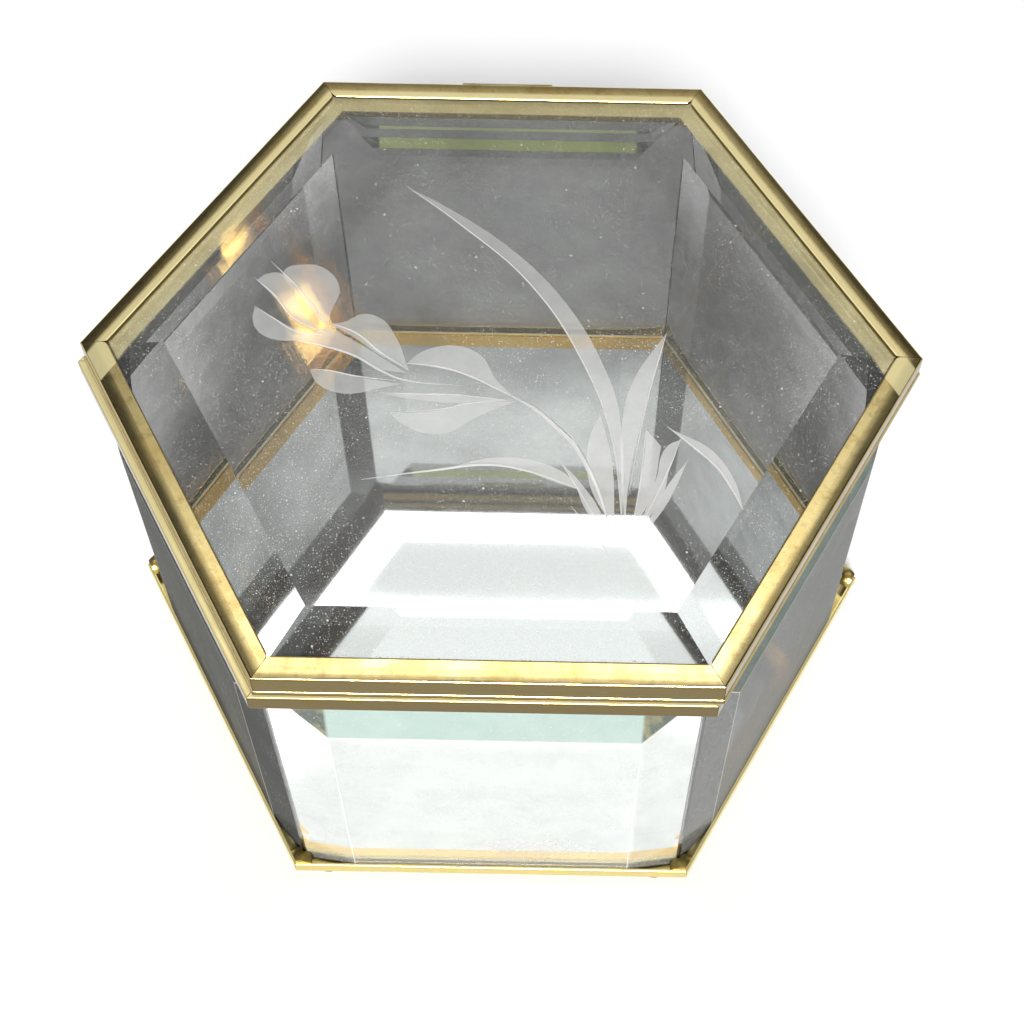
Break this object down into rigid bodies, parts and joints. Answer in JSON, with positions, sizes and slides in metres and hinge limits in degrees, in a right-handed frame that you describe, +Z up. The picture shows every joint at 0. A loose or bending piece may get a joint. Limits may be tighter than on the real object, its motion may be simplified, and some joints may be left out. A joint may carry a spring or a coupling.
{
  "type": "hexagonal glass keepsake box",
  "caption": "Hexagonal keepsake box of bevelled glass in mitred brass channel, with a hinged glazed lid, a mirror floor and ball feet.",
  "frame": {"origin": "on the surface that the feet stand on, at the middle of the footprint with the hinge included", "axes": "+Z up, -Y towards the front rail, +Y towards the hinge, X along the front rail"},
  "size_m": [0.1544, 0.1376, 0.0883],
  "materials": {
    "lid_brass": "drawn channel, polished and lightly aged",
    "rim_brass": "drawn channel, aged",
    "base_brass": "drawn channel, aged",
    "hinge_brass": "rolled sheet and wire, aged",
    "foot_brass": "turned, aged",
    "solder": "soft solder, brass-plated and lumpy",
    "lid_pane": "clear float glass, ground and polished bevels",
    "side_pane": "clear float glass, ground and polished bevels",
    "mirror": "silvered float glass",
    "clear_glue": "clear set glue"
  },
  "bodies": {
    "case": {"base_mirror": "mirror", "corner_seams": "clear_glue", "corner_solder": "solder", "feet": "foot_brass", "hinge_case_knuckles": "hinge_brass", "hinge_pin": "hinge_brass", "rim_rail_front": "rim_brass", "rim_rail_front_right": "rim_brass", "rim_rail_back_right": "rim_brass", "rim_rail_back": "rim_brass", "rim_rail_back_left": "rim_brass", "rim_rail_front_left": "rim_brass", "base_rail_front": "base_brass", "base_rail_front_right": "base_brass", "base_rail_back_right": "base_brass", "base_rail_back": "base_brass", "base_rail_back_left": "base_brass", "base_rail_front_left": "base_brass", "side_panel_front": "side_pane", "side_panel_front_right": "side_pane", "side_panel_back_right": "side_pane", "side_panel_back": "side_pane", "side_panel_back_left": "side_pane", "side_panel_front_left": "side_pane"},
    "lid": {"lid_glass": "lid_pane", "hinge_lid_knuckle": "hinge_brass", "lid_rail_front": "lid_brass", "lid_rail_front_right": "lid_brass", "lid_rail_back_right": "lid_brass", "lid_rail_back": "lid_brass", "lid_rail_back_left": "lid_brass", "lid_rail_front_left": "lid_brass"}
  },
  "joints": [
    {"name": "lid_hinge", "type": "hinge", "parent": "case", "child": "lid", "pos_m": [0, 0.06623, 0.08185], "axis": [-1, 0, 0], "range_deg": [0, 108]}
  ]
}
